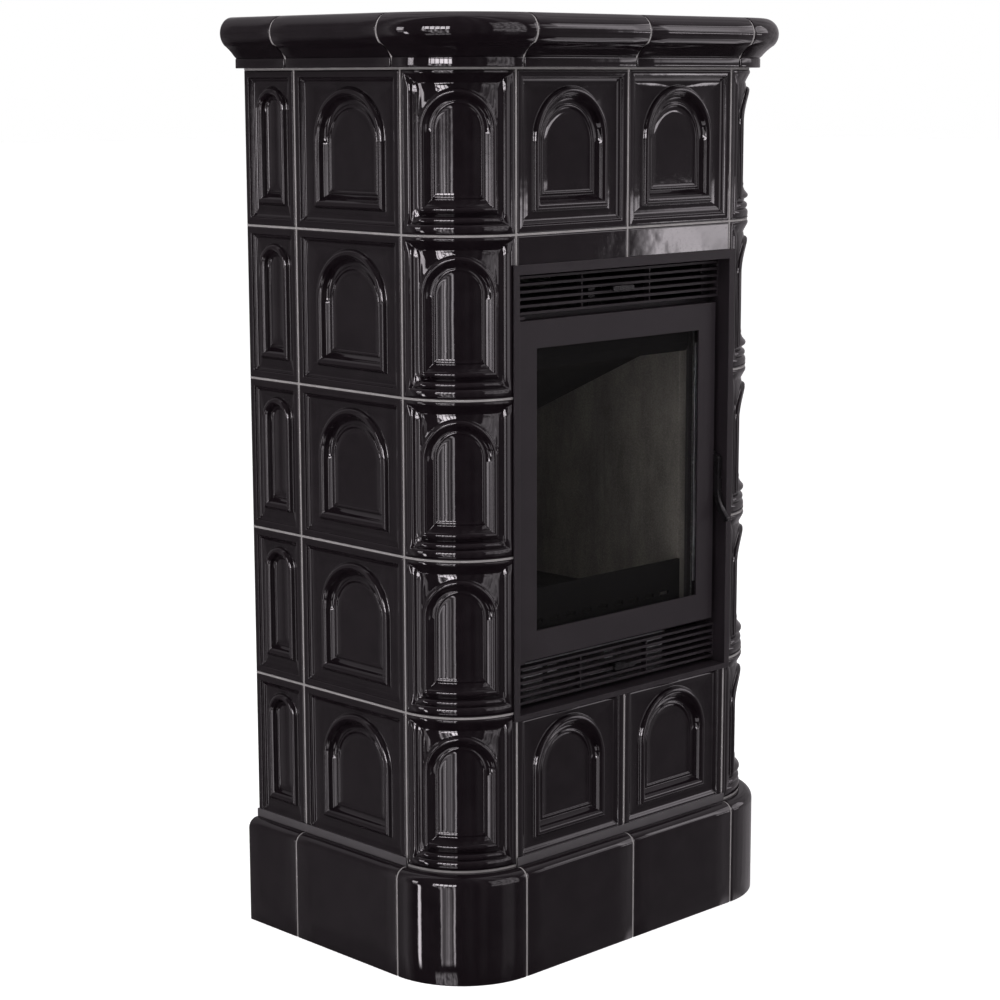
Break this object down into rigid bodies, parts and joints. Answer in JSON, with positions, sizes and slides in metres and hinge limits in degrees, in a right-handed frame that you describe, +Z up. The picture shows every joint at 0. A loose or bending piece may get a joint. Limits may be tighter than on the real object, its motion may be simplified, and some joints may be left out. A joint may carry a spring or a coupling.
{
  "type": "tiled stove with fireplace insert",
  "caption": "Black glazed tiled stove with a plinth, a cornice and courses of arched tiles, round a steel fireplace insert with a glazed hinged door, louvred grilles and air sliders.",
  "frame": {"origin": "centre of the bounding box on the floor, under the middle of the stove", "axes": "+Z up, the door faces -Y, +X to the right of someone facing the door"},
  "size_m": [0.753, 0.53, 1.35],
  "materials": {
    "glaze": "black glaze, high gloss",
    "mortar": "matt grey",
    "stove_steel": "satin heat-proof paint",
    "raw_steel": "matt heat-proof paint",
    "zinc_steel": "zinc plated",
    "board": "matt vermiculite board, sooty",
    "iron": "rough cast",
    "pane": "clear ceramic glass",
    "rope": "woven glass fibre",
    "slab": "cast concrete",
    "panel": "matt fibre cement"
  },
  "bodies": {
    "stove": {"plinth_left_corner": "glaze", "plinth_right_corner": "glaze", "plinth_front": "glaze", "plinth_left": "glaze", "plinth_right": "glaze", "left_corner_tiles": "glaze", "right_corner_tiles": "glaze", "left_side_tiles": "glaze", "right_side_tiles": "glaze", "left_half_tiles": "glaze", "right_half_tiles": "glaze", "top_tile_left": "glaze", "top_tile_right": "glaze", "lintel_tiles": "glaze", "bottom_tile_left": "glaze", "bottom_tile_right": "glaze", "cornice_left_corner": "glaze", "cornice_right_corner": "glaze", "cornice_front": "glaze", "cornice_left": "glaze", "cornice_right": "glaze", "cover_slab": "glaze", "grout": "mortar", "ledge_trim": "stove_steel", "insert_frame": "stove_steel", "upper_grille": "stove_steel", "lower_grille": "stove_steel", "firebox_front": "stove_steel", "hinge_brackets": "stove_steel", "firebox_shell": "raw_steel", "air_deflector": "raw_steel", "flue_collar": "raw_steel", "insert_stand": "raw_steel", "air_box": "zinc_steel", "ash_pan": "zinc_steel", "air_spigot": "zinc_steel", "levelling_feet": "zinc_steel", "latch_keeper": "zinc_steel", "left_lining": "board", "right_lining": "board", "rear_lining": "board", "hearth_bricks": "board", "baffle": "board", "grate": "iron", "log_guard": "iron", "base_slab": "slab", "back_panel": "panel"},
    "door": {"door_frame": "stove_steel", "door_glass": "pane", "glass_gasket": "rope", "door_gasket": "rope", "glass_retainers": "zinc_steel", "retainer_screws": "zinc_steel"},
    "handle": {"door_handle": "stove_steel", "handle_spindle": "zinc_steel", "latch_hook": "stove_steel"},
    "upper_air": {"upper_slider": "stove_steel"},
    "lower_air": {"lower_slider": "stove_steel"}
  },
  "joints": [
    {"name": "door_hinge", "type": "hinge", "parent": "stove", "child": "door", "pos_m": [-0.201, -0.201, 0.692], "axis": [0, 0, -1], "range_deg": [0, 105]},
    {"name": "handle_pivot", "type": "hinge", "parent": "door", "child": "handle", "pos_m": [0.21, -0.198, 0.702], "axis": [-1, 0, 0], "range_deg": [-10, 30]},
    {"name": "upper_air_slide", "type": "slide", "parent": "stove", "child": "upper_air", "axis": [1, 0, 0], "range_m": [-0.022, 0.022]},
    {"name": "lower_air_slide", "type": "slide", "parent": "stove", "child": "lower_air", "axis": [1, 0, 0], "range_m": [-0.022, 0.022]}
  ]
}
